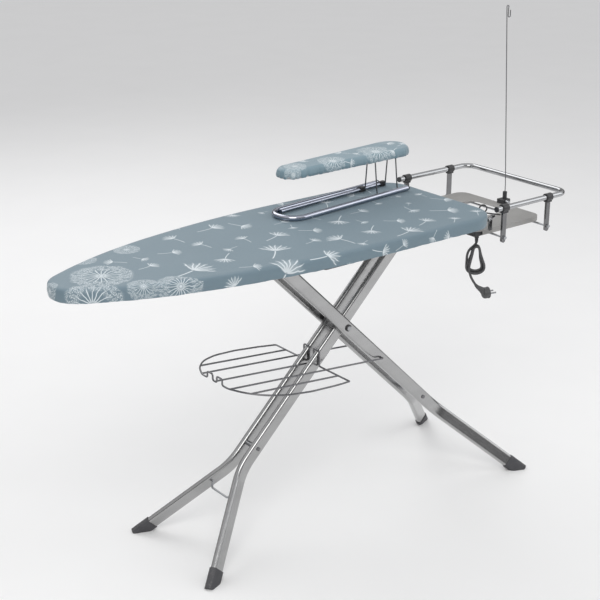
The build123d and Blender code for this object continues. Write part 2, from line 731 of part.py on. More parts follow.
with BuildPart() as rod_blocks:
    for u in bail_u:
        with BuildSketch(stand_plane.offset(0.6)):
            with Locations((u, rod_v - 0.5)):
                Rectangle(18, 13)
        extrude(amount=13.5)
        rod(on_stand(u, rod_v + 10, bail_axis_z), on_stand(u, rod_v - 10, bail_axis_z), 2.3, Mode.SUBTRACT)
    rod(on_stand(-190, rod_v, rod_w), on_stand(232, rod_v, rod_w), 4.5, Mode.SUBTRACT)
finish(rod_blocks, "rod_blocks")


def bail(u):
    """One folding wire bail of the stand, from its pivot block over and down to its free toe."""
    bent_rod(
        [
            on_stand(u, rod_v - 5.2, bail_axis_z),
            on_stand(u, 24, bail_axis_z),
            on_stand(u, 16, bail_bar_z),
            on_stand(u, -14, bail_bar_z),
            on_stand(u, -24, bail_axis_z),
            on_stand(u, -33, bail_axis_z),
        ],
        4,
        2,
    )


with BuildPart() as left_bail:
    bail(bail_u[0])
finish(left_bail, "left_bail")

with BuildPart() as right_bail:
    bail(bail_u[1])
finish(right_bail, "right_bail")

with BuildPart() as deck_clips:
    for u in bail_u:
        with BuildSketch(stand_plane.offset(bail_bar_z - 4.5)):
            with Locations((u, 1)):
                Rectangle(12, 14)
        extrude(amount=8.5)
        rod(on_stand(u, 20, bail_bar_z), on_stand(u, -20, bail_bar_z), 2.3, Mode.SUBTRACT)
finish(deck_clips, "deck_clips")

deck_plane = Plane(
    origin=(219.0, 139.5, board_top),
    x_dir=(cos(radians(deck_yaw)), sin(radians(deck_yaw)), 0),
    z_dir=(0, 0, 1),
)
deck_half, nose_radius, heel_radius = 240.0, 38.0, 56.0


def deck_outline(inset=0.0):
    """The sleeve board from above, drawn in the current sketch: a small nose and a wide round heel."""
    with BuildSketch(mode=Mode.PRIVATE) as shape:
        with Locations((-deck_half + nose_radius, 0)):
            Circle(nose_radius)
        with Locations((deck_half - heel_radius, 0)):
            Circle(heel_radius)
        make_hull()
        if inset:
            offset(amount=-inset)
    add(shape.sketch)


def deck_slab(inset, low, high, mode=Mode.ADD):
    """A plate in the sleeve board's outline, between two heights above the board's cover."""
    with BuildSketch(deck_plane.offset(low)) as profile:
        deck_outline(inset)
    extrude(profile.sketch, amount=high - low, mode=mode)


deck_low = bail_bar_z + 4
with BuildPart() as sleeve_deck:
    deck_slab(1.7, deck_low, deck_low + 7)
finish(sleeve_deck, "sleeve_deck")

with BuildPart() as sleeve_pad:
    deck_slab(1.7, deck_low + 7, sleeve_top - 1.5)
finish(sleeve_pad, "sleeve_pad")

with BuildPart() as sleeve_cover:
    deck_slab(0, bail_bar_z, sleeve_top)
    deck_slab(1.5, bail_bar_z + 1.5, sleeve_top - 1.5, Mode.SUBTRACT)
    deck_slab(12, bail_bar_z, bail_bar_z + 1.5, Mode.SUBTRACT)
finish(sleeve_cover, "sleeve_cover")
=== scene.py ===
import math

import bmesh
import bpy
import numpy as np
from mathutils import Matrix, Vector


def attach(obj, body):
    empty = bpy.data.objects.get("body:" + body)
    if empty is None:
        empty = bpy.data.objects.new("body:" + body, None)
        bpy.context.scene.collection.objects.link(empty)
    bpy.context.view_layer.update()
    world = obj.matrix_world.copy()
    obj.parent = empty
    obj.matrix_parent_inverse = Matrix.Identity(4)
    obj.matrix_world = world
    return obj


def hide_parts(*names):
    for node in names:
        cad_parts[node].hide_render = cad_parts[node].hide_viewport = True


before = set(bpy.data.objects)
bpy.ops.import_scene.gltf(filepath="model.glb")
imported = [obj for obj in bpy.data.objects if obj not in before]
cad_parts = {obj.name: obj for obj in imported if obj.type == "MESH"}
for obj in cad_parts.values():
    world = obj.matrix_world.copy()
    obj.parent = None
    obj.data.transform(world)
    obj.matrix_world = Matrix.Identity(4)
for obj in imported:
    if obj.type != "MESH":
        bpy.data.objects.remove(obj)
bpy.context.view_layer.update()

print("frame loaded:", len(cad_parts), "nodes")

# Ironing board with a printed cover, iron rest, cord hank and folding sleeve board.
# Metres, +Z up, the narrow nose towards -X, the power lead on the -Y side.


cameraSet = {
    "place": (-2.1363, -2.6716, 1.9096),
    "turn": -38.0,        # degrees round Z
    "rise": 20.4,         # degrees above the horizon
    "lens": 79.18,
}


def makeCamera(look):
    lensData = bpy.data.cameras.new("viewCamera")
    lensData.lens = look["lens"]
    lensData.sensor_width = 36.0
    lensData.clip_end = 100.0
    lensData.dof.use_dof = False
    viewer = bpy.data.objects.new("viewCamera", lensData)
    viewer.location = look["place"]
    viewer.rotation_euler = (math.radians(90 - look["rise"]), 0, math.radians(look["turn"]))
    bpy.context.scene.collection.objects.link(viewer)
    bpy.context.scene.camera = viewer


makeCamera(cameraSet)


# An empty shader node group with the named sockets, and its two end nodes.
def newGroup(name, inputs, outputs):
    tree = bpy.data.node_groups.new(name, "ShaderNodeTree")
    for label, kind, value in inputs:
        socket = tree.interface.new_socket(name=label, in_out="INPUT", socket_type=kind)
        if value is not None:
            socket.default_value = value
    for label, kind in outputs:
        tree.interface.new_socket(name=label, in_out="OUTPUT", socket_type=kind)
    return tree, tree.nodes.new("NodeGroupInput"), tree.nodes.new("NodeGroupOutput")


# Short names for adding and joining nodes in one tree.
class Wiring:
    def __init__(self, tree):
        self.tree = tree

    def join(self, value, socket):
        if isinstance(value, bpy.types.NodeSocket):
            self.tree.links.new(value, socket)
        elif value is not None:
            socket.default_value = value

    def math(self, kind, a, b=None, c=None, clamp=False):
        node = self.tree.nodes.new("ShaderNodeMath")
        node.operation, node.use_clamp = kind, clamp
        for value, socket in zip((a, b, c), node.inputs):
            self.join(value, socket)
        return node.outputs[0]

    def times(self, a, b):
        return self.math("MULTIPLY", a, b)

    def most(self, a, b):
        return self.math("MAXIMUM", a, b)

    def step(self, value, low, high, outLow=0.0, outHigh=1.0):
        node = self.tree.nodes.new("ShaderNodeMapRange")
        node.interpolation_type = "SMOOTHSTEP"
        for given, socket in zip((value, low, high, outLow, outHigh), node.inputs):
            self.join(given, socket)
        return node.outputs[0]

    def noise(self, place, scale, detail=3.0, rough=0.55):
        node = self.tree.nodes.new("ShaderNodeTexNoise")
        self.join(place, node.inputs["Vector"])
        self.join(scale, node.inputs["Scale"])
        node.inputs["Detail"].default_value = detail
        node.inputs["Roughness"].default_value = rough
        return node.outputs["Fac"]

    def mapped(self, place, scale=(1, 1, 1), turn=(0, 0, 0)):
        node = self.tree.nodes.new("ShaderNodeMapping")
        node.inputs["Scale"].default_value = scale
        node.inputs["Rotation"].default_value = [math.radians(a) for a in turn]
        self.join(place, node.inputs["Vector"])
        return node.outputs[0]

    def parts(self, place):
        node = self.tree.nodes.new("ShaderNodeSeparateXYZ")
        self.join(place, node.inputs[0])
        return node.outputs

    def blendColour(self, factor, a, b):
        node = self.tree.nodes.new("ShaderNodeMix")
        node.data_type = "RGBA"
        self.join(factor, node.inputs[0])
        self.join(a, node.inputs[6])
        self.join(b, node.inputs[7])
        return node.outputs[2]

    def group(self, tree, **values):
        node = self.tree.nodes.new("ShaderNodeGroup")
        node.node_tree = tree
        for label, value in values.items():
            self.join(value, node.inputs[label])
        return node.outputs


# Fine grain: two noises, a coarse one for cloudiness and a fine one for the surface itself.
def makeGrainGroup():
    tree, start, end = newGroup(
        "fineGrain",
        [("Place", "NodeSocketVector", None), ("Scale", "NodeSocketFloat", 400.0)],
        [("Grain", "NodeSocketFloat"), ("Cloud", "NodeSocketFloat")],
    )
    w = Wiring(tree)
    w.join(w.noise(start.outputs["Place"], start.outputs["Scale"], 4.0), end.inputs["Grain"])
    w.join(w.noise(start.outputs["Place"], w.times(start.outputs["Scale"], 0.03), 3.0), end.inputs["Cloud"])
    return tree


# Handling marks: a few thin patches where two noises are both high.
def makeScuffGroup():
    tree, start, end = newGroup(
        "scuffMarks",
        [("Place", "NodeSocketVector", None), ("Amount", "NodeSocketFloat", 0.4)],
        [("Mask", "NodeSocketFloat")],
    )
    w = Wiring(tree)
    wide = w.step(w.noise(start.outputs["Place"], 9.0, 2.0), 0.52, 0.7)
    thin = w.step(w.noise(start.outputs["Place"], 160.0, 3.0, 0.7), 0.5, 0.66)
    w.join(w.times(w.times(wide, thin), start.outputs["Amount"]), end.inputs["Mask"])
    return tree


# Dust settles on faces that look up: the normal's height times a fine noise.
def makeDustGroup():
    tree, start, end = newGroup(
        "lightDust",
        [("Place", "NodeSocketVector", None), ("Amount", "NodeSocketFloat", 0.15)],
        [("Mask", "NodeSocketFloat")],
    )
    w = Wiring(tree)
    facing = tree.nodes.new("ShaderNodeNewGeometry")
    up = w.step(w.parts(facing.outputs["Normal"])[2], 0.4, 1.0)
    fine = w.step(w.noise(start.outputs["Place"], 260.0, 5.0, 0.7), 0.42, 0.75)
    w.join(w.times(w.times(up, fine), start.outputs["Amount"]), end.inputs["Mask"])
    return tree


# Satin weave: threads as sine bands both ways over the cloth, the warp floating over the weft.
def makeWeaveGroup():
    tree, start, end = newGroup(
        "satinWeave",
        [("Place", "NodeSocketVector", None), ("Threads", "NodeSocketFloat", 1400.0)],
        [("Height", "NodeSocketFloat"), ("Slub", "NodeSocketFloat")],
    )
    w = Wiring(tree)
    x, y, _ = w.parts(start.outputs["Place"])
    phase = w.times(start.outputs["Threads"], 2 * math.pi)
    warp = w.math("SINE", w.times(x, phase))
    weft = w.math("SINE", w.times(y, w.times(phase, 0.7)))
    both = w.math("MULTIPLY_ADD", weft, 0.6, warp)
    w.join(w.math("MULTIPLY_ADD", both, 0.3, 0.5), end.inputs["Height"])
    stretched = w.mapped(start.outputs["Place"], (60.0, 900.0, 60.0))
    w.join(w.noise(stretched, 1.0, 3.0), end.inputs["Slub"])
    return tree


# Dandelion print in a motif's own measure, centre 0 and radius 1.
# Kind 1 is a whole clock: rays from the centre, then a ring of small tufts. Kind 0 is one floating seed:
# a fan of hairs above the centre and a stalk below it.
def makePrintGroup():
    tree, start, end = newGroup(
        "dandelionPrint",
        [("Place", "NodeSocketVector", None), ("Thin", "NodeSocketFloat", 0.012)],
        [("Mask", "NodeSocketFloat")],
    )
    w = Wiring(tree)
    x, y, kind = w.parts(start.outputs["Place"])
    reach = w.math("SQRT", w.math("ADD", w.times(x, x), w.times(y, y)))
    angle = w.math("ARCTAN2", x, y)
    thin = start.outputs["Thin"]
    ripple = w.noise(start.outputs["Place"], 3.0, 2.0)
    bent = w.math("ADD", angle, w.times(w.math("SUBTRACT", ripple, 0.5), 0.35))
    # a whole clock
    rays = w.times(w.math("ABSOLUTE", w.math("SINE", w.times(bent, 9.0))), w.math("DIVIDE", reach, 9.0))
    rayMask = w.times(
        w.step(rays, w.times(thin, 0.45), w.times(thin, 1.2), 1.0, 0.0),
        w.times(w.step(reach, 0.5, 0.72, 1.0, 0.0), w.step(reach, 0.04, 0.14))
    )
    heart = w.step(reach, 0.04, 0.10, 1.0, 0.0)
    tufts = tree.nodes.new("ShaderNodeTexVoronoi")
    tufts.voronoi_dimensions = "2D"
    w.join(start.outputs["Place"], tufts.inputs["Vector"])
    tufts.inputs["Scale"].default_value = 7.5
    away = tufts.outputs["Distance"]
    fine = w.noise(start.outputs["Place"], 34.0, 2.0, 0.6)
    tuftRing = w.times(w.step(away, 0.14, 0.26), w.step(away, 0.44, 0.6, 1.0, 0.0))
    tuftDot = w.step(away, 0.04, 0.11, 1.0, 0.0)
    tuftHair = w.times(tuftRing, w.step(fine, 0.47, 0.55))
    edge = w.times(
        w.step(reach, 0.38, 0.6),
        w.step(w.math("ADD", reach, w.times(ripple, 0.2)), 0.98, 1.12, 1.0, 0.0)
    )
    tuftMask = w.times(w.most(tuftDot, tuftHair), edge)
    loose = w.times(w.step(w.noise(start.outputs["Place"], 22.0, 3.0, 0.7), 0.5, 0.62), w.times(edge, 0.36))
    clock = w.most(w.most(rayMask, heart), w.most(tuftMask, loose))
    # one floating seed
    comb = w.times(w.math("ABSOLUTE", w.math("SINE", w.times(bent, 9.0))), w.math("DIVIDE", reach, 9.0))
    fan = w.times(
        w.step(comb, w.times(thin, 0.8), w.times(thin, 2.1), 1.0, 0.0),
        w.step(w.math("ABSOLUTE", angle), 1.15, 1.35, 1.0, 0.0)
    )
    fanReach = w.times(
        w.step(
            reach, w.math("MULTIPLY_ADD", ripple, 0.25, 0.5),
            w.math("MULTIPLY_ADD", ripple, 0.25, 0.68), 1.0, 0.0
        ),
        w.step(reach, 0.02, 0.08, 0.4, 1.0)
    )
    veil = w.times(
        w.times(w.step(w.math("ABSOLUTE", angle), 1.0, 1.3, 1.0, 0.0), w.step(reach, 0.3, 0.75, 1.0, 0.0)),
        0.38
    )
    stalk = w.times(
        w.step(
            w.math("ABSOLUTE", w.math("ADD", x, w.times(w.times(y, y), 0.12))), w.times(thin, 0.9),
            w.times(thin, 2.2), 1.0, 0.0
        ),
        w.times(w.step(y, -1.12, -1.0), w.step(y, -0.05, 0.0, 1.0, 0.0))
    )
    seed = w.most(w.most(w.times(fan, fanReach), veil), stalk)
    mixed = w.math("ADD", w.times(clock, kind), w.times(seed, w.math("SUBTRACT", 1.0, kind)))
    w.join(w.math("MULTIPLY", mixed, w.step(reach, 1.2, 1.35, 1.0, 0.0), clamp=True), end.inputs["Mask"])
    return tree


# Expanded metal: the strands are where two slanting saw-tooth waves are near zero.
def makeDiamondGroup():
    tree, start, end = newGroup(
        "diamondMesh",
        [
            ("Place", "NodeSocketVector", None), ("Long", "NodeSocketFloat", 0.020),
            ("Short", "NodeSocketFloat", 0.009)
        ],
        [("Strand", "NodeSocketFloat")],
    )
    w = Wiring(tree)
    x, y, _ = w.parts(start.outputs["Place"])
    u = w.math("DIVIDE", x, start.outputs["Long"])
    v = w.math("DIVIDE", y, start.outputs["Short"])
    slants = []
    for sign in ("ADD", "SUBTRACT"):
        wave = w.math("ABSOLUTE", w.math("SUBTRACT", w.math("FRACT", w.math(sign, u, v)), 0.5))
        slants.append(w.step(wave, 0.36, 0.42))
    w.join(w.most(slants[0], slants[1]), end.inputs["Strand"])
    return tree


grainGroup = makeGrainGroup()
scuffGroup = makeScuffGroup()
dustGroup = makeDustGroup()
weaveGroup = makeWeaveGroup()
printGroup = makePrintGroup()
diamondGroup = makeDiamondGroup()
print("node groups made")


# A material with one Principled shader, and the coordinates in the object's own measure.
def startMaterial(name):
    material = bpy.data.materials.new(name)
    material.use_nodes = True
    nodes = material.node_tree.nodes
    shader = next(n for n in nodes if n.type == "BSDF_PRINCIPLED")
    coords = nodes.new("ShaderNodeTexCoord")
    return material, Wiring(material.node_tree), shader, coords.outputs["Object"]


def addBump(w, shader, height, strength, distance):
    bump = w.tree.nodes.new("ShaderNodeBump")
    bump.inputs["Strength"].default_value = strength
    bump.inputs["Distance"].default_value = distance
    w.join(height, bump.inputs["Height"])
    w.join(bump.outputs[0], shader.inputs["Normal"])


# Metal, paint or plastic: grain runs along the stretch, scuffs lighten it and dust lies on top.
def hardFinish(name, look):
    material, w, shader, place = startMaterial(name)
    grain, cloud = w.group(
        grainGroup, Place=w.mapped(place, look["stretch"], look["turn"]), Scale=look["grain"]
    )
    scuff = w.group(scuffGroup, Place=place, Amount=look["scuff"])[0]
    dust = w.group(dustGroup, Place=place, Amount=look["dust"])[0]
    base = w.blendColour(cloud, (*look["dark"], 1), (*look["light"], 1))
    worn = w.blendColour(scuff, base, (*look["worn"], 1))
    w.join(w.blendColour(dust, worn, (0.62, 0.61, 0.58, 1)), shader.inputs["Base Color"])
    rough = w.step(grain, 0.3, 0.7, look["rough"][0], look["rough"][1])
    w.join(
        w.math("ADD", rough, w.times(w.math("ADD", scuff, dust), 0.3), clamp=True),
        shader.inputs["Roughness"]
    )
    shader.inputs["Metallic"].default_value = look["metallic"]
    addBump(w, shader, grain, look["bump"], look["depth"])
    return material


plainFinish = {"metallic": 0.0, "stretch": (1, 1, 1), "turn": (0, 0, 0)}
finishes = {
    "polishedChrome": {
        "dark": (0.36, 0.365, 0.375), "light": (0.47, 0.475, 0.485), "worn": (0.5, 0.5, 0.5),
        "metallic": 1.0,
        "rough": (0.06, 0.13), "grain": 500, "scuff": 0.25, "dust": 0.05, "bump": 0.08, "depth": 0.0001,
    },
    # a darker copy of the rail's polished chrome: painted shade on the rail posts
    "shadedPostChrome": {
        "dark": (0.16, 0.16, 0.165), "light": (0.26, 0.26, 0.265), "worn": (0.45, 0.45, 0.45),
        "metallic": 1.0, "stretch": (1, 1, 0.2),
        "rough": (0.14, 0.24), "grain": 500, "scuff": 0.25, "dust": 0.05, "bump": 0.08, "depth": 0.0001,
    },
    # chrome tinted blue: the blue is a painted reflection of the blue covers round the sleeve stand
    "standChromeBlueReflection": {
        "dark": (0.34, 0.36, 0.44), "light": (0.54, 0.56, 0.63), "worn": (0.4, 0.4, 0.42),
        "metallic": 1.0,
        "rough": (0.08, 0.16), "grain": 420, "scuff": 0.25, "dust": 0.05, "bump": 0.08, "depth": 0.0001,
    },
    "innerLegSteel": {
        "dark": (0.37, 0.37, 0.372), "light": (0.5, 0.5, 0.502), "worn": (0.3, 0.3, 0.3),
        "metallic": 1.0, "stretch": (0.03, 1, 1), "turn": (0, 44.7, 0),
        "rough": (0.17, 0.26), "grain": 900, "scuff": 0.15, "dust": 0.04, "bump": 0.05, "depth": 0.0001,
    },
    "outerLegSteel": {
        "dark": (0.37, 0.37, 0.372), "light": (0.5, 0.5, 0.502), "worn": (0.3, 0.3, 0.3),
        "metallic": 1.0, "stretch": (0.03, 1, 1), "turn": (0, -44.7, 0),
        "rough": (0.17, 0.26), "grain": 900, "scuff": 0.15, "dust": 0.04, "bump": 0.05, "depth": 0.0001,
    },
    "zincPlate": {
        "dark": (0.36, 0.37, 0.38), "light": (0.5, 0.51, 0.53), "worn": (0.36, 0.35, 0.34),
        "metallic": 1.0,
        "rough": (0.22, 0.38), "grain": 650, "scuff": 0.5, "dust": 0.1, "bump": 0.2, "depth": 0.0002,
    },
    "darkWire": {
        "dark": (0.15, 0.15, 0.16), "light": (0.25, 0.25, 0.26), "worn": (0.5, 0.5, 0.5),
        "metallic": 1.0,
        "rough": (0.22, 0.36), "grain": 700, "scuff": 0.5, "dust": 0.05, "bump": 0.15, "depth": 0.0002,
    },
    "powderGrey": {
        "dark": (0.4, 0.4, 0.41), "light": (0.47, 0.47, 0.48), "worn": (0.55, 0.55, 0.56),
        "rough": (0.42, 0.6), "grain": 1300, "scuff": 0.5, "dust": 0.2, "bump": 0.3, "depth": 0.0003,
    },
    "trayGrey": {
        "dark": (0.33, 0.325, 0.315), "light": (0.41, 0.405, 0.395), "worn": (0.5, 0.5, 0.49),
        "metallic": 0.35,
        "rough": (0.38, 0.6), "grain": 900, "scuff": 0.4, "dust": 0.12, "bump": 0.45, "depth": 0.0004,
    },
    "mouldedBlack": {
        "dark": (0.03, 0.03, 0.032), "light": (0.05, 0.05, 0.054), "worn": (0.16, 0.16, 0.165),
        "rough": (0.34, 0.52), "grain": 1100, "scuff": 0.5, "dust": 0.15, "bump": 0.25, "depth": 0.0003,
    },
    "footRubber": {
        "dark": (0.05, 0.05, 0.056), "light": (0.085, 0.085, 0.092), "worn": (0.17, 0.17, 0.17),
        "rough": (0.5, 0.72), "grain": 800, "scuff": 0.6, "dust": 0.3, "bump": 0.4, "depth": 0.0004,
    },
    "flexJacket": {
        "dark": (0.06, 0.06, 0.063), "light": (0.095, 0.095, 0.099), "worn": (0.16, 0.16, 0.16),
        "rough": (0.36, 0.52), "grain": 900, "scuff": 0.4, "dust": 0.2, "bump": 0.2, "depth": 0.0003,
    },
    "feltPad": {
        "dark": (0.5, 0.5, 0.48), "light": (0.66, 0.66, 0.63), "worn": (0.6, 0.6, 0.58),
        "rough": (0.85, 0.98), "grain": 380, "scuff": 0.0, "dust": 0.0, "bump": 0.7, "depth": 0.0012,
    },
}
materials = {name: hardFinish(name, {**plainFinish, **look}) for name, look in finishes.items()}


# Grey strands of the worktop sheet; between them a dark grey is painted: the pad behind the openings, in
# painted shade.
def expandedSheet():
    material, w, shader, place = startMaterial("expandedSheet")
    strand = w.group(diamondGroup, Place=place)[0]
    grain, cloud = w.group(grainGroup, Place=place, Scale=700.0)
    metal = w.blendColour(cloud, (0.36, 0.37, 0.38, 1), (0.46, 0.47, 0.48, 1))
    # the 0.20 grey between the strands is painted shade: the pale felt pad seen through the openings,
    # darkened
    w.join(w.blendColour(strand, (0.20, 0.20, 0.19, 1), metal), shader.inputs["Base Color"])
    w.join(w.step(strand, 0.0, 1.0, 0.9, 0.45), shader.inputs["Roughness"])
    addBump(w, shader, w.math("MULTIPLY_ADD", grain, 0.1, strand), 0.7, 0.0012)
    return material


# Satin cotton: the weave and its slubs, the print carried on the cloth, and a soft sheen.
def printedCloth(name, look):
    material, w, shader, place = startMaterial(name)
    cloth = w.tree.nodes.new("ShaderNodeAttribute")
    cloth.attribute_name = "clothPlace"
    motif = w.tree.nodes.new("ShaderNodeAttribute")
    motif.attribute_name = "printPlace"
    height, slub = w.group(weaveGroup, Place=cloth.outputs["Vector"], Threads=look["threads"])
    mask = w.group(printGroup, Place=motif.outputs["Vector"], Thin=look["thin"])[0]
    cloud = w.noise(place, 7.0, 3.0)
    ground = w.blendColour(cloud, (*look["dark"], 1), (*look["light"], 1))
    threads = w.blendColour(w.step(slub, 0.35, 0.75, 0.0, 0.16), ground, (*look["thread"], 1))
    ink = w.times(mask, w.step(slub, 0.25, 0.6, look["ink"] - 0.12, look["ink"]))
    w.join(w.blendColour(ink, threads, (*look["white"], 1)), shader.inputs["Base Color"])
    w.join(w.step(slub, 0.3, 0.7, look["rough"][0], look["rough"][1]), shader.inputs["Roughness"])
    shader.inputs["Sheen Weight"].default_value = look["sheen"]
    shader.inputs["Sheen Roughness"].default_value = 0.4
    fuzz = w.noise(place, 420.0, 3.0)
    addBump(w, shader, w.math("ADD", w.times(height, 0.5), w.times(fuzz, 0.5)), 0.35, 0.0004)
    return material


clothSet = {
    "boardCloth": {
        "dark": (0.150, 0.218, 0.262), "light": (0.170, 0.243, 0.290), "thread": (0.24, 0.32, 0.37),
        "white": (0.80, 0.86, 0.89), "ink": 0.84, "threads": 900.0, "thin": 0.017,
        "rough": (0.50, 0.66), "sheen": 0.25,
    },
    "sleeveCloth": {
        "dark": (0.175, 0.270, 0.320), "light": (0.235, 0.340, 0.400), "thread": (0.33, 0.43, 0.49),
        "white": (0.84, 0.90, 0.92), "ink": 0.86, "threads": 900.0, "thin": 0.022, "rough": (0.34, 0.5),
        "sheen": 0.35,
    },
}
for clothName, clothLook in clothSet.items():
    materials[clothName] = printedCloth(clothName, clothLook)
materials["expandedSheet"] = expandedSheet()
print("materials made:", len(materials))

finishNodes = {
    # finish: the CAD nodes that wear it
    "expandedSheet": "board_mesh",
    "powderGrey": "board_rim cross_bars guide_rails tray_bearers tray_brackets height_rack sleeve_deck",
    "zincPlate":
        "hinge_rod hinge_nuts tray_rods rod_nuts plug_pins release_rod inner_hinge_tube "
        "inner_spacer inner_brace slide_bar pivot_bolt outer_spacer clamp_screw",
    "polishedChrome": "iron_rail socket_outlet",
    "mouldedBlack":
        "rail_end_plugs rail_collars mast_clamp cable_loop junction_box cord_gland "
        "base_end_plugs rod_blocks release_grip slide_rollers pivot_washers deck_clips",
    # the rail posts wear the darker chrome, painted shade
    "shadedPostChrome": "rail_posts",
    "trayGrey": "iron_tray",
    # the sleeve stand's chrome carries the painted blue reflection
    "standChromeBlueReflection": "sleeve_base sleeve_rod",
    "innerLegSteel": "inner_leg_near inner_leg_far",
    "darkWire": "inner_rivets outer_rivets shelf_frame shelf_wires cord_mast left_bail right_bail",
    "footRubber": "inner_feet outer_feet",
    "outerLegSteel": "outer_leg_near outer_leg_far",
}
for finishName, nodeNames in finishNodes.items():
    for nodeName in nodeNames.split():
        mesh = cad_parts[nodeName].data
        mesh.materials.clear()
        mesh.materials.append(materials[finishName])


# A mesh object at the origin from arrays of points and faces, smooth-shaded unless asked not to be.
def newPiece(name, points, faces, material, smooth=True):
    mesh = bpy.data.meshes.new(name)
    mesh.from_pydata(np.asarray(points).reshape(-1, 3).tolist(), [], [list(map(int, f)) for f in faces])
    piece = bpy.data.objects.new(name, mesh)
    bpy.context.scene.collection.objects.link(piece)
    mesh.materials.append(materials[material])
    if smooth:
        mesh.polygons.foreach_set("use_smooth", np.ones(len(mesh.polygons), bool))
    return piece


# Quads between neighbouring rows and columns of a grid, the columns closing on themselves.
def gridFaces(rows, columns, first=0):
    r, c = np.meshgrid(np.arange(rows - 1), np.arange(columns), indexing="ij")
    n = (c + 1) % columns
    quads = np.stack(
        [r * columns + c, r * columns + n, (r + 1) * columns + n, (r + 1) * columns + c], axis=-1
    )
    return quads.reshape(-1, 4) + first


# Doubles merged and all faces turned outwards.
def mergeAndFace(piece, distance=1e-5):
    work = bmesh.new()
    work.from_mesh(piece.data)
    bmesh.ops.remove_doubles(work, verts=work.verts, dist=distance)
    bmesh.ops.recalc_face_normals(work, faces=work.faces)
    work.to_mesh(piece.data)
    work.free()


def addModifier(piece, kind, **values):
    modifier = piece.modifiers.new(kind.title(), kind)
    for label, value in values.items():
        setattr(modifier, label, value)
    return modifier


# The arc that leaves start along way and reaches end: its centre lies square to way, at
# the chord squared over twice its sideways part.
def arcPoints(start, way, end, count):
    start, way, end = (np.array(v, float) for v in (start, way, end))
    side = np.array([-way[1], way[0]])
    chord = end - start
    radius = chord.dot(chord) / (2 * side.dot(chord))
    centre = start + side * radius
    first = math.atan2(*(start - centre)[::-1])
    turn = (math.atan2(*(end - centre)[::-1]) - first + math.pi) % (2 * math.pi) - math.pi
    angles = first + turn * np.linspace(0, 1, count)
    points = centre + abs(radius) * np.stack([np.cos(angles), np.sin(angles)], axis=-1)
    leave = end - centre
    return points, np.array([-leave[1], leave[0]]) / np.linalg.norm(leave) * np.sign(turn)


# The closed line at equal steps, with its outward normals and the distance round it.
def evenLoop(points, count):
    ring = np.vstack([points, points[:1]])
    far = np.concatenate([[0], np.cumsum(np.linalg.norm(np.diff(ring, axis=0), axis=1))])
    steps = np.arange(count) * far[-1] / count
    line = np.stack([np.interp(steps, far, ring[:, k]) for k in (0, 1)], axis=-1)
    ahead = np.roll(line, -1, axis=0) - np.roll(line, 1, axis=0)
    ahead /= np.linalg.norm(ahead, axis=1)[:, None]
    return line, np.stack([ahead[:, 1], -ahead[:, 0]], axis=-1), steps


# A cover pulled over a board: rings run from the spine line out to the edge, then follow the profile
# of (outwards, height, distance along the cloth) down the side and under. drape moves the points by
# given folds.
# Returns the points and the same points laid flat.
def wrapSurface(line, normals, spine, rings, profile, drape):
    base = np.stack([np.clip(line[:, 0], spine[0], spine[1]), np.zeros(len(line))], axis=-1)
    edge = line + normals * profile[0][0]
    share = np.linspace(0, 1, rings, endpoint=False)[:, None, None]
    inner = base + share * (edge - base)
    top = np.concatenate([inner, np.full(inner.shape[:2] + (1,), profile[0][1])], axis=-1)
    out, height, along = np.array(profile, float).T
    sides = np.concatenate(
        [
            line + normals * out[:, None, None],
            np.broadcast_to(height[:, None, None], (len(out), len(line), 1))
        ],
        axis=-1
    )
    flatInner = np.concatenate([inner, np.zeros(inner.shape[:2] + (1,))], axis=-1)
    flatSides = np.concatenate(
        [edge + normals * along[:, None, None], np.zeros((len(out), len(line), 1))], axis=-1
    )
    return drape(np.concatenate([top, sides]), rings), np.concatenate([flatInner, flatSides])


# The cloth's flat place on each point, kept through the merging of doubles.
def setPlaces(piece, flat):
    layer = piece.data.attributes.new("clothPlace", "FLOAT_VECTOR", "POINT")
    layer.data.foreach_set("vector", flat.reshape(-1).astype(np.float32))


# Each face takes its nearest motif, nearness measured in the motif's own radius, and its corners
# get their place in that motif: centre 0, radius 1, the stalk down, and the kind as the third number.
def setPrint(piece, motifs):
    mesh = piece.data
    flat = np.zeros(len(mesh.vertices) * 3, np.float32)
    mesh.attributes["clothPlace"].data.foreach_get("vector", flat)
    flat = flat.reshape(-1, 3)[:, :2]
    corner = np.zeros(len(mesh.loops), np.int32)
    mesh.loops.foreach_get("vertex_index", corner)
    count = np.zeros(len(mesh.polygons), np.int32)
    mesh.polygons.foreach_get("loop_total", count)
    faceOf = np.repeat(np.arange(len(count)), count)
    middle = np.stack([np.bincount(faceOf, flat[corner, k]) / count for k in (0, 1)], axis=-1)
    centre = np.array([m[:2] for m in motifs]) / 1000
    stalk = np.radians([m[2] for m in motifs])
    size = np.array([m[3] for m in motifs]) / 1000
    kind = np.array([m[4] for m in motifs], float)
    near = np.linalg.norm(middle[:, None] - centre[None], axis=2) / size[None]
    pick = near.argmin(axis=1)[faceOf]
    away = (flat[corner] - centre[pick]) / size[pick][:, None]
    turn = stalk[pick] + math.pi / 2          # brings the stalk onto the motif's own -Y
    x = away[:, 0] * np.cos(turn) + away[:, 1] * np.sin(turn)
    y = -away[:, 0] * np.sin(turn) + away[:, 1] * np.cos(turn)
    layer = mesh.attributes.new("printPlace", "FLOAT_VECTOR", "CORNER")
    layer.data.foreach_set("vector", np.stack([x, y, kind[pick]], axis=-1).astype(np.float32).reshape(-1))


def surfaceArea(piece):
    return sum(face.area for face in piece.data.polygons)


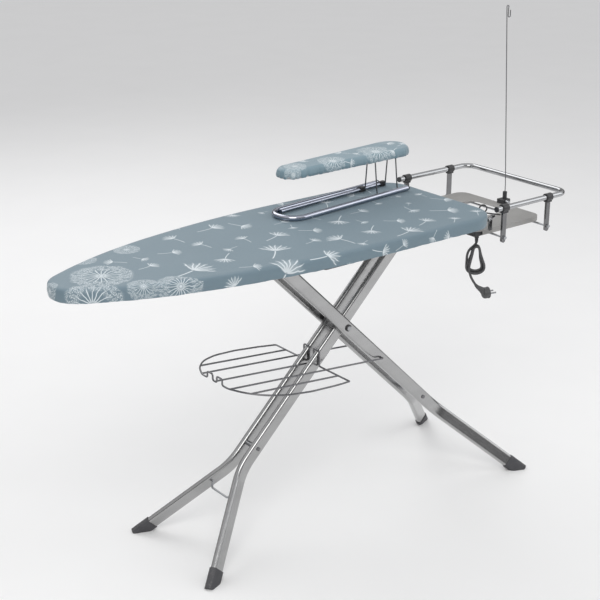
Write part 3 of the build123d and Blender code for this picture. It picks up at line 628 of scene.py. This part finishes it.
coverSet = {
    "top": 0.8545, "edgeRound": 0.016, "edgeDrop": 0.007, "bottom": 0.8195, "hem": 0.041,
    "thickness": 0.0009,
    "around": 520, "rings": 34, "puckers": 0.0011, "flat": (0.628, 1.429), "spine": (-0.70, 0.38),
    "padInset": 0.0115, "padHalf": 0.003, "padMiddle": 0.8496,
    # centre x, y, stalk direction in degrees, size, and 1 for a whole clock, 0 for a floating seed;
    # millimetres
    "motifs": [
        (-665, -10, 0, 80, 1), (-748, -112, 0, 78, 1), (-619, -128, 0, 42, 1), (-538, -168, 0, 60, 1),
        (-512, 128, 0, 36, 1), (-805, 8, 0, 30, 1), (-234, 147, -170, 46, 0), (-367, 131, -75, 41, 0),
        (-161, 114, 118, 40, 0), (-222, 17, -86, 33, 0), (-338, 45, -72, 35, 0), (-432, 38, 165, 35, 0),
        (-354, -86, 49, 42, 0), (-533, -20, -167, 33, 0), (-468, -113, -161, 76, 0),
        (-336, -179, 158, 32, 0), (-407, -222, -82, 38, 0), (-138, -15, -152, 48, 0),
        (-218, -114, -126, 64, 0), (-265, -236, -127, 76, 0), (-34, -36, 150, 36, 0),
        (-53, 72, -169, 28, 0), (-40, 180, 13, 20, 0), (156, 141, -116, 38, 0), (183, 21, -175, 33, 0),
        (77, -11, 49, 46, 0), (89, -133, 48, 42, 0), (-25, -141, -76, 52, 0), (-136, -222, -178, 54, 0),
        (165, -199, -159, 52, 0), (38, -253, 169, 34, 0), (-72, -281, -71, 30, 0),
        (280, -263, -10, 32, 0), (261, -162, -151, 40, 0), (200, -110, 149, 34, 0),
        (305, -56, 90, 34, 0), (340, -6, -128, 16, 0), (272, 53, 90, 22, 0), (361, 69, 177, 20, 0),
        (432, 43, -84, 26, 0), (449, -35, 128, 38, 0), (380, -122, 150, 46, 0),
        (336, -197, -131, 28, 0), (436, -183, -122, 30, 0), (273, 153, -56, 34, 0),
        (-640, 120, 0, 34, 1), (-590, 62, -40, 34, 0), (-300, -30, 20, 26, 0), (-90, -110, 200, 30, 0),
        (30, 60, -60, 34, 0), (120, -60, 100, 24, 0), (210, 200, 150, 34, 0), (60, 215, -20, 30, 0),
        (-120, 215, 60, 34, 0), (-300, 215, 10, 34, 0), (340, 180, -100, 34, 0), (430, 130, 30, 30, 0),
        (-450, 220, -60, 36, 0), (0, -205, 30, 24, 0), (110, -250, -150, 26, 0), (220, -250, 60, 24, 0),
        (-190, -285, 120, 30, 0), (-390, -285, 40, 34, 0), (-620, -200, 10, 32, 0),
        (-250, 275, 190, 34, 0), (0, 285, 60, 34, 0), (220, 280, -30, 36, 0), (-520, 40, 120, 26, 0),
        (-60, 20, 70, 22, 0), (500, 90, -60, 30, 0), (505, -110, 200, 30, 0),
    ],
}


boardSet = {
    "end": 0.478, "halfWidth": 0.236, "corner": 0.092, "shoulder": 0.030,
    # each arc of a long side, from the shoulder to the nose: where it ends and how many points it has
    "arcs": [((-0.480, 0.176), 200), ((-0.754, 0.070), 140), ((-0.795, 0.0), 90)],
}


# The board from above, anticlockwise from the middle of its square end: a straight end, round corners,
# parallel sides and three arcs a side that close on the nose.
def boardLine(look, count):
    corner = np.radians(np.linspace(0, 90, 40))
    half = [np.array([[look["end"], 0.0]])]
    middle = np.array([look["end"], look["halfWidth"]]) - look["corner"]
    half.append(middle + look["corner"] * np.stack([np.cos(corner), np.sin(corner)], axis=-1))
    start, way = np.array([look["shoulder"], look["halfWidth"]]), np.array([-1.0, 0.0])
    for end, steps in look["arcs"]:
        points, way = arcPoints(start, way, end, steps)
        half.append(points)
        start = points[-1]
    far = np.vstack(half)
    near = far[-2:0:-1] * (1, -1)
    return evenLoop(np.vstack([far, near]), count)


# Folds of the cover: a very shallow swell on top, and puckers on the side that grow towards the drawn hem,
# stronger round the nose and the corners. Each is a sum of sines round the edge.
def coverDrape(line, normals, distance, look):
    rng = np.random.default_rng(11)
    phases = rng.uniform(0, 2 * math.pi, 6)
    total = distance[-1] + distance[1]
    bend = np.clip((-line[:, 0] - 0.60) / 0.19, 0, 1) + 0.6 * np.clip((line[:, 0] - 0.38) / 0.1, 0, 1)
    turns = distance / total * 2 * math.pi
    waves = sum(
        np.sin(turns * k + p) * a
        for k, p, a in zip((31, 57, 83, 131), phases, (0.5, 0.4, 0.35, 0.25))
    )
    slow = np.sin(turns * 9 + phases[4]) * 0.5 + np.sin(turns * 14 + phases[5]) * 0.5

    def drape(points, rings):
        depth = np.clip((look["top"] - points[..., 2]) / 0.036, 0, 1)
        under = np.zeros(points.shape[:2])
        under[rings + 9:] = 1
        push = look["puckers"] * (0.12 + 1.3 * bend) * waves * depth ** 1.5 * (1 - under)
        push += 0.0006 * slow * depth
        points[..., :2] += normals * push[..., None]
        points[..., 2] += under * 0.0005 * (1 + waves)
        swell = 0.0007 * np.sin(points[..., 0] * 21 + 1.3) * np.sin(points[..., 1] * 27 + 0.4)
        points[..., 2] += swell * (depth < 0.05)
        return points

    return drape


def makeBoardCover(look):
    line, normals, distance = boardLine(boardSet, look["around"])
    wide, drop = look["edgeRound"], look["edgeDrop"]
    arc = (wide + drop) / 2
    bend = np.radians(np.linspace(0, 90, 7))
    profile = [(-wide + wide * math.sin(a), look["top"] - drop + drop * math.cos(a), arc * a) for a in bend]
    run = arc * math.pi / 2
    side = look["top"] - drop - look["bottom"] - 0.0012
    profile += [
        (0.0012 * math.sin(math.pi * t), look["top"] - drop - t * side, run + t * side)
        for t in (0.25, 0.5, 0.75, 1.0)
    ]
    run += side
    fold = 0.0012
    profile += [
        (-fold + fold * math.cos(a), look["bottom"] + fold - fold * math.sin(a), run + fold * a)
        for a in np.radians((30, 60, 90))
    ]
    profile += [
        (-fold - t * look["hem"], look["bottom"], run + t * look["hem"])
        for t in (0.2, 0.4, 0.6, 0.8, 1.0)
    ]
    points, flat = wrapSurface(
        line, normals, look["spine"], look["rings"], profile, coverDrape(line, normals, distance, look)
    )
    cover = newPiece("boardCover", points, gridFaces(len(points), look["around"]), "boardCloth")
    setPlaces(cover, flat)
    mergeAndFace(cover)
    setPrint(cover, look["motifs"])
    print("cover area", round(surfaceArea(cover), 4))
    addModifier(cover, "SOLIDIFY", thickness=look["thickness"], offset=-1)
    return cover


# A pad closed all round: the cover's rings on top, its rounded side, and the same rings underneath.
def closedPad(name, line, normals, spine, rings, profile, material, drape):
    points, flat = wrapSurface(line, normals, spine, rings, profile, drape)
    below = points[:rings + 1].copy()
    below[..., 2] = profile[-1][1]
    whole = np.concatenate([points, below[::-1]])
    pad = newPiece(name, whole, gridFaces(len(whole), len(line)), material)
    mergeAndFace(pad)
    return pad


def makeBoardPad(look):
    line, normals, _ = boardLine(boardSet, 260)
    half = look["padHalf"]
    a = np.radians(np.linspace(0, 180, 7))
    profile = [
        (-look["padInset"] + half * math.sin(t), look["padMiddle"] + half * math.cos(t), half * t)
        for t in a
    ]
    return closedPad(
        "boardPad", line, normals, look["spine"], 10, profile, "feltPad", lambda points, rings: points
    )


boardCover = makeBoardCover(coverSet)
boardPad = makeBoardPad(coverSet)
for piece, node in ((boardCover, "board_cover"), (boardPad, "board_pad")):
    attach(piece, "board")
    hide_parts(node)
print("board cover and pad made")


sleeveSet = {
    "centre": (0.219, 0.1395), "turn": 3.5, "half": 0.240, "nose": 0.038, "heel": 0.056,
    "top": 0.9862, "bottom": 0.9605, "crown": 0.0016, "edge": 0.011, "around": 300, "rings": 14,
    "thickness": 0.0008, "flat": (0.18, 0.54),
    "padInset": 0.0115, "padHalf": 0.007, "padMiddle": 0.9775,
    "motifs": [
        (-190, -4, 0, 34, 1), (-70, -28, 0, 46, 1), (96, -30, 180, 56, 1), (10, 22, -60, 30, 0),
        (-130, 28, 40, 26, 0), (190, 18, 120, 34, 0), (150, -50, 30, 26, 0), (-20, -52, 160, 24, 0),
        (40, -12, 20, 22, 0), (-225, -40, 0, 30, 1), (215, -20, 200, 26, 0),
    ],
}


# Two arcs, the small nose and the wide heel, and the two straight lines that touch both.
def sleeveLine(look):
    lean = math.asin((look["heel"] - look["nose"]) / (2 * look["half"] - look["nose"] - look["heel"]))
    heel = np.linspace(-math.pi / 2 - lean, math.pi / 2 + lean, 90)
    nose = np.linspace(math.pi / 2 + lean, 1.5 * math.pi - lean, 70)
    right = np.stack(
        [look["half"] - look["heel"] + look["heel"] * np.cos(heel), look["heel"] * np.sin(heel)],
        axis=-1
    )
    left = np.stack(
        [-look["half"] + look["nose"] + look["nose"] * np.cos(nose), look["nose"] * np.sin(nose)],
        axis=-1
    )
    ring = np.vstack([right, left])
    first = int(np.argmax(ring[:, 0]))
    return evenLoop(np.roll(ring, -first, axis=0), look["around"])


# Gathers of the small cover: pleats round the side that deepen towards the elastic, tightest at the nose,
# with a few long pulls along the near side; the top is crowned across its width.
def sleeveDrape(line, normals, distance, look):
    rng = np.random.default_rng(5)
    total = distance[-1] + distance[1]
    turns = distance / total * 2 * math.pi
    noseSide = np.clip((-line[:, 0] - 0.12) / 0.10, 0, 1)
    pleats = sum(
        np.sin(turns * k + rng.uniform(0, 6.28)) * a
        for k, a in ((34, 0.5), (53, 0.45), (79, 0.35), (118, 0.2))
    )
    sharp = np.sign(pleats) * np.abs(pleats) ** 0.7
    pulls = np.sin(turns * 7 + 1.0) * 0.6 + np.sin(turns * 12 + 0.3) * 0.4

    def drape(points, rings):
        depth = np.clip((look["top"] - points[..., 2]) / (look["top"] - look["bottom"]), 0, 1)
        push = (0.0015 + 0.0019 * noseSide) * sharp * depth ** 0.8 + 0.0009 * pulls * depth
        reach = 1 - np.clip(np.abs(points[..., 1]) / 0.045, 0, 1) ** 2
        lift = look["crown"] * reach * (depth < 0.02) + 0.0007 * pulls * (depth > 0.6)
        points[..., :2] += normals * push[..., None]
        points[..., 2] += lift
        return points

    return drape


# The finished mesh is turned and moved to its place over the board, and the object stays at the origin.
def placeSleeve(piece, look):
    piece.data.transform(
        Matrix.Translation((*look["centre"], 0)) @ Matrix.Rotation(math.radians(look["turn"]), 4, "Z")
    )


def makeSleeveCover(look):
    line, normals, distance = sleeveLine(look)
    bend = np.radians(np.linspace(0, 90, 8))
    edge = look["edge"]
    profile = [
        (-edge + edge * math.sin(a), look["top"] - edge + edge * math.cos(a), edge * a)
        for a in bend
    ]
    run = edge * math.pi / 2
    drop = look["top"] - edge - look["bottom"] - 0.003
    profile += [
        (0.0012 * math.sin(math.pi * t) - 0.0006 * t, look["top"] - edge - t * drop, run + t * drop)
        for t in (0.25, 0.5, 0.75, 1.0)
    ]
    run += drop
    profile += [
        (-0.0036 + 0.003 * math.cos(a), look["bottom"] + 0.003 - 0.003 * math.sin(a), run + 0.003 * a)
        for a in np.radians((30, 60, 90))
    ]
    profile += [
        (-0.0036 - t * 0.010, look["bottom"] + 0.001 * t, run + 0.0047 + t * 0.010)
        for t in (0.35, 0.7, 1.0)
    ]
    spine = (-look["half"] + look["nose"], look["half"] - look["heel"])
    points, flat = wrapSurface(
        line, normals, spine, look["rings"], profile, sleeveDrape(line, normals, distance, look)
    )
    cover = newPiece("sleeveCover", points, gridFaces(len(points), look["around"]), "sleeveCloth")
    setPlaces(cover, flat)
    mergeAndFace(cover)
    setPrint(cover, look["motifs"])
    placeSleeve(cover, look)
    print("sleeve cover area", round(surfaceArea(cover), 4))
    addModifier(cover, "SOLIDIFY", thickness=look["thickness"], offset=-1)
    return cover


def makeSleevePad(look):
    line, normals, _ = sleeveLine({**look, "around": 160})
    a = np.radians(np.linspace(0, 180, 8))
    half = look["padHalf"]
    profile = [
        (-look["padInset"] + half * math.sin(t), look["padMiddle"] + half * math.cos(t), half * t)
        for t in a
    ]
    spine = (-look["half"] + look["nose"], look["half"] - look["heel"])
    pad = closedPad("sleevePad", line, normals, spine, 6, profile, "feltPad", lambda points, rings: points)
    placeSleeve(pad, look)
    return pad


sleeveCover = makeSleeveCover(sleeveSet)
sleevePad = makeSleevePad(sleeveSet)
for piece, node in ((sleeveCover, "sleeve_cover"), (sleevePad, "sleeve_pad")):
    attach(piece, "sleeve_deck")
    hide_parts(node)
print("sleeve cover and pad made")


cordSet = {
    "exit": (0.474, -0.150, 0.763), "radius": 0.0035, "length": 0.80,
    # half of one turn from the fold at the top down to the bottom of the loop: across, height; millimetres
    "halfTurn": [
        (0, 740), (8, 736), (10, 726), (13.5, 714), (17.5, 702.5), (21.5, 692), (25.5, 681),
        (25.5, 668), (17.5, 659.5), (8.5, 656), (-0.5, 654.8)
    ],
    # along the turns: how far each strand lies inside the first one, and how far in front
    "turnKeys": [
        0.10, 0.15, 0.20, 0.30, 0.50, 0.70, 0.90, 1.00, 1.10, 1.20, 1.30, 1.50, 1.70, 1.80, 1.88, 2.00,
        2.10, 2.50, 2.72, 2.84, 2.92, 3.00, 3.10, 3.20, 3.28
    ],
    "inside": [
        -8.0, -10.0, -8.0, 0.0, 0.0, 0.0, 0.0, 0.0, 0.0, 3.0, 7.2, 7.2, 7.2, 5.0, 0.0, 0.0, 0.0, 0.0,
        0.0, 0.0, 0.0, 0.0, 0.0, 3.5, 6.5
    ],
    "front": [
        -2.0, -3.4, -3.8, -3.8, -3.8, -3.8, -3.8, -3.8, -3.8, -3.8, -3.8, -3.8, -3.8, -1.5, 3.8, 3.8,
        3.8, 3.8, 3.8, 7.5, 11.2, 11.2, 11.2, 9.5, 8.0
    ],
    "lead": [(0, 771, 0), (0, 763, 0), (0, 755, 0), (0, 749, 0), (-2, 743.5, -0.5), (-8, 737, -1.2)],
    "tail": [
        (-19, 678, 9.0), (-18, 664, 11.4), (-13, 648, 12.0), (-4, 632, 10.2), (6, 618, 7.2),
        (13, 612.5, 5.6), (18, 609, 5)
    ],
}


# A point of the upright plane that the cord hangs in, millimetres to metres.
def cordPlace(across, height, front):
    x = cordSet["exit"][0] + (across * 0.788 - front * 0.616) / 1000
    y = cordSet["exit"][1] + (-across * 0.616 - front * 0.788) / 1000
    return (x, y, height / 1000)


# Straight out of the gland, down the left side, three turns of the hank and the crossing tail.
# A turn is the half turn mirrored; each point is then moved inwards along the turn's own normal.
def cordRoute(look):
    half = np.array(look["halfTurn"], float)
    turn = np.vstack([half * (-1, 1), half[-2:0:-1]])
    steps = len(turn)
    ahead = np.roll(turn, -1, axis=0) - np.roll(turn, 1, axis=0)
    ahead /= np.linalg.norm(ahead, axis=1)[:, None]
    inward = np.stack([-ahead[:, 1], ahead[:, 0]], axis=-1)
    route = [cordPlace(*p) for p in look["lead"]]
    for k in range(2, int(3.28 * steps) + 1):
        inside = np.interp(k / steps, look["turnKeys"], look["inside"])
        front = np.interp(k / steps, look["turnKeys"], look["front"])
        across, height = turn[k % steps] + inward[k % steps] * inside
        route.append(cordPlace(across, height, front))
    return route + [cordPlace(*p) for p in look["tail"]]


def makeCord(look):
    route = cordRoute(look)
    flex = bpy.data.curves.new("powerCord", "CURVE")
    flex.dimensions = "3D"
    flex.bevel_depth = look["radius"]
    flex.bevel_resolution = 5
    flex.resolution_u = 8
    flex.use_fill_caps = True
    line = flex.splines.new("NURBS")
    line.points.add(len(route) - 1)
    for point, place in zip(line.points, route):
        point.co = (*place, 1)
    line.order_u = 3
    line.use_endpoint_u = True
    flex.materials.append(materials["flexJacket"])
    cord = bpy.data.objects.new("powerCord", flex)
    bpy.context.scene.collection.objects.link(cord)
    return cord


# A round section carried along a path: each ring stands square to the path, as wide as its radius,
# and the two ends close on a point.
def tubeAlong(path, radii, sides=28):
    path = np.asarray(path, float)
    ahead = np.gradient(path, axis=0)
    ahead /= np.linalg.norm(ahead, axis=1)[:, None]
    guide = np.array([0.31, -0.87, 0.38])
    side = np.cross(ahead, guide)
    side /= np.linalg.norm(side, axis=1)[:, None]
    rise = np.cross(side, ahead)
    turn = np.linspace(0, 2 * math.pi, sides, endpoint=False)
    ring = np.cos(turn)[None, :, None] * side[:, None] + np.sin(turn)[None, :, None] * rise[:, None]
    return path[:, None] + ring * np.asarray(radii)[:, None, None]


plugSet = {
    "centre": (33, 597, 5), "pinWay": (0.93, -0.36, 0.05),
    "neck": [
        (2, 623.5, 8.6), (6, 618, 7.2), (11, 613.6, 6.2), (18, 608.6, 5.2), (25, 603.5, 5),
        (31, 598.5, 5)
    ],
    # along the pins, out from them; metres
    "profile": [
        (0.0094, 0.0), (0.0094, 0.0118), (0.0098, 0.0128), (0.0102, 0.0150), (0.0094, 0.0166),
        (0.0080, 0.0172), (0.0050, 0.0170), (0.0030, 0.0162), (0.0010, 0.0160), (-0.0020, 0.0162),
        (-0.0050, 0.0160), (-0.0082, 0.0146), (-0.0104, 0.0112), (-0.0114, 0.0060), (-0.0116, 0.0)
    ],
    "neckRadii": [0.0041, 0.0050, 0.0062, 0.0080, 0.0104, 0.0112],
}


reliefSet = {
    "top": 0.7695, "bottom": 0.7490, "wide": 0.0060, "narrow": 0.0043, "ridge": 0.0003, "ridges": 4,
    "rings": 60, "sides": 28
}


# A tapered sleeve round the cord where it leaves its gland, with four shallow rings.
def makeStrainRelief(look):
    share = np.linspace(0, 1, look["rings"])
    path = np.empty((look["rings"], 3))
    path[:] = cordSet["exit"]
    path[:, 2] = np.linspace(look["top"], look["bottom"], look["rings"])
    radii = look["wide"] - (look["wide"] - look["narrow"]) * share
    radii += look["ridge"] * np.sin(share * look["ridges"] * 2 * math.pi)
    radii[0] = radii[-1] = 0.0001
    rings = tubeAlong(path, radii, look["sides"])
    relief = newPiece("cordRelief", rings, gridFaces(look["rings"], look["sides"]), "mouldedBlack")
    mergeAndFace(relief, 2e-4)
    return relief


# The plug's round head is a profile turned about the pins' line: a recessed face, a rounded rim, a grip
# waist and a domed back. The neck is a tapered tube from the cord into its side, with grooves.
def makePlug(look):
    axis = Vector(look["pinWay"]).normalized()
    centre = Vector(cordPlace(*look["centre"]))
    side = axis.cross(Vector((0, 0, 1))).normalized()
    rise = side.cross(axis)
    profile = np.array(look["profile"])
    turn = np.linspace(0, 2 * math.pi, 64, endpoint=False)
    ribs = 1 + 0.018 * np.cos(turn * 16)[None] * (
        (profile[:, 0] < 0.002) & (profile[:, 0] > -0.006)
    )[:, None]
    around = np.cos(turn)[:, None] * np.array(side) + np.sin(turn)[:, None] * np.array(rise)
    head = np.array(centre) + profile[:, :1, None] * np.array(axis) + around[None] * (
        profile[:, 1:, None] * ribs[..., None]
    )
    knots = np.array([cordPlace(*p) for p in look["neck"]])
    t = np.linspace(0, len(knots) - 1, 90)
    path = np.stack([np.interp(t, np.arange(len(knots)), knots[:, k]) for k in range(3)], axis=-1)
    kernel = np.ones(15) / 15
    padded = np.vstack([np.repeat(path[:1], 7, axis=0), path, np.repeat(path[-1:], 7, axis=0)])
    path = np.stack([np.convolve(padded[:, k], kernel, "valid") for k in range(3)], axis=-1)
    radii = np.interp(t, np.arange(len(knots)), look["neckRadii"])
    radii += 0.0004 * np.sin(t * 11) * (t < 2.6)
    radii[0] = radii[-1] = 0.0001
    neck = tubeAlong(path, radii, 32)
    points = np.concatenate([head.reshape(-1, 3), neck.reshape(-1, 3)])
    faces = np.concatenate([gridFaces(len(profile), 64), gridFaces(90, 32, first=head.shape[0] * 64)])
    plug = newPiece("plugShell", points, faces, "flexJacket")
    mergeAndFace(plug, 3e-4)
    return plug


powerCord = makeCord(cordSet)
cordRelief = makeStrainRelief(reliefSet)
plugShell = makePlug(plugSet)
for piece in (powerCord, cordRelief, plugShell):
    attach(piece, "board")
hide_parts("cord_hank", "cord_tail")
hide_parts("plug_body")
print("cord and plug made")


lightSet = {
    # name: place, target, size, watts, colour
    "keySoftbox": ((-2.2, -2.6, 3.6), (0.0, 0.0, 0.7), 2.6, 68, (1.0, 0.99, 0.97)),
    "fillSoftbox": ((3.0, -2.2, 2.2), (0.2, 0.0, 0.6), 2.4, 24, (0.97, 0.99, 1.0)),
    "backSoftbox": ((0.5, 3.2, 3.4), (0.0, 0.0, 0.8), 2.8, 46, (1.0, 1.0, 1.0)),
}


def makeLights(lights):
    for name, (place, target, size, watts, colour) in lights.items():
        lamp = bpy.data.lights.new(name, "AREA")
        lamp.shape, lamp.size, lamp.energy, lamp.color = "SQUARE", size, watts, colour
        holder = bpy.data.objects.new(name, lamp)
        holder.location = place
        holder.rotation_euler = (Vector(target) - Vector(place)).to_track_quat("-Z", "Y").to_euler()
        bpy.context.scene.collection.objects.link(holder)


# Studio surround: bright overhead, mid grey at eye level, so that polished tubes show a light and a
# dark side.
def makeWorld():
    world = bpy.data.worlds.new("studio")
    world.use_nodes = True
    bpy.context.scene.world = world
    w = Wiring(world.node_tree)
    back = next(n for n in world.node_tree.nodes if n.type == "BACKGROUND")
    coords = world.node_tree.nodes.new("ShaderNodeTexCoord")
    up = w.parts(coords.outputs["Generated"])[2]
    ramp = world.node_tree.nodes.new("ShaderNodeValToRGB")
    stops = ((0.0, 0.55), (0.42, 0.16), (0.56, 0.14), (0.66, 0.70), (0.80, 1.15), (1.0, 1.25))
    while len(ramp.color_ramp.elements) < len(stops):
        ramp.color_ramp.elements.new(0.5)
    for element, (place, value) in zip(ramp.color_ramp.elements, stops):
        element.position = place
        element.color = (value, value, value * 1.01, 1)
    w.join(w.math("MULTIPLY_ADD", up, 0.5, 0.5), ramp.inputs[0])
    # the camera itself sees a plain pale backdrop, only reflections see the dark band
    rays = world.node_tree.nodes.new("ShaderNodeLightPath")
    w.join(
        w.blendColour(rays.outputs["Is Camera Ray"], ramp.outputs[0], (1.2, 1.2, 1.21, 1)),
        back.inputs["Color"]
    )
    back.inputs["Strength"].default_value = 0.62


# A pale floor, a plain disc with a faint mottling.
def makeFloor():
    turn = np.linspace(0, 2 * math.pi, 96, endpoint=False)
    points = np.concatenate(
        [[[0, 0, 0]], np.stack([40 * np.cos(turn), 40 * np.sin(turn), np.zeros(96)], axis=-1)]
    )
    faces = [(0, 1 + k, 1 + (k + 1) % 96) for k in range(96)]
    material, w, shader, place = startMaterial("paleFloor")
    w.join(
        w.blendColour(w.noise(place, 3.0, 2.0), (0.90, 0.90, 0.90, 1), (0.93, 0.93, 0.93, 1)),
        shader.inputs["Base Color"]
    )
    shader.inputs["Roughness"].default_value = 0.75
    materials["paleFloor"] = material
    newPiece("studioFloor", points, faces, "paleFloor", smooth=False)


makeLights(lightSet)
makeWorld()
makeFloor()
bpy.context.scene.view_settings.view_transform = "Standard"

print("scene ready")
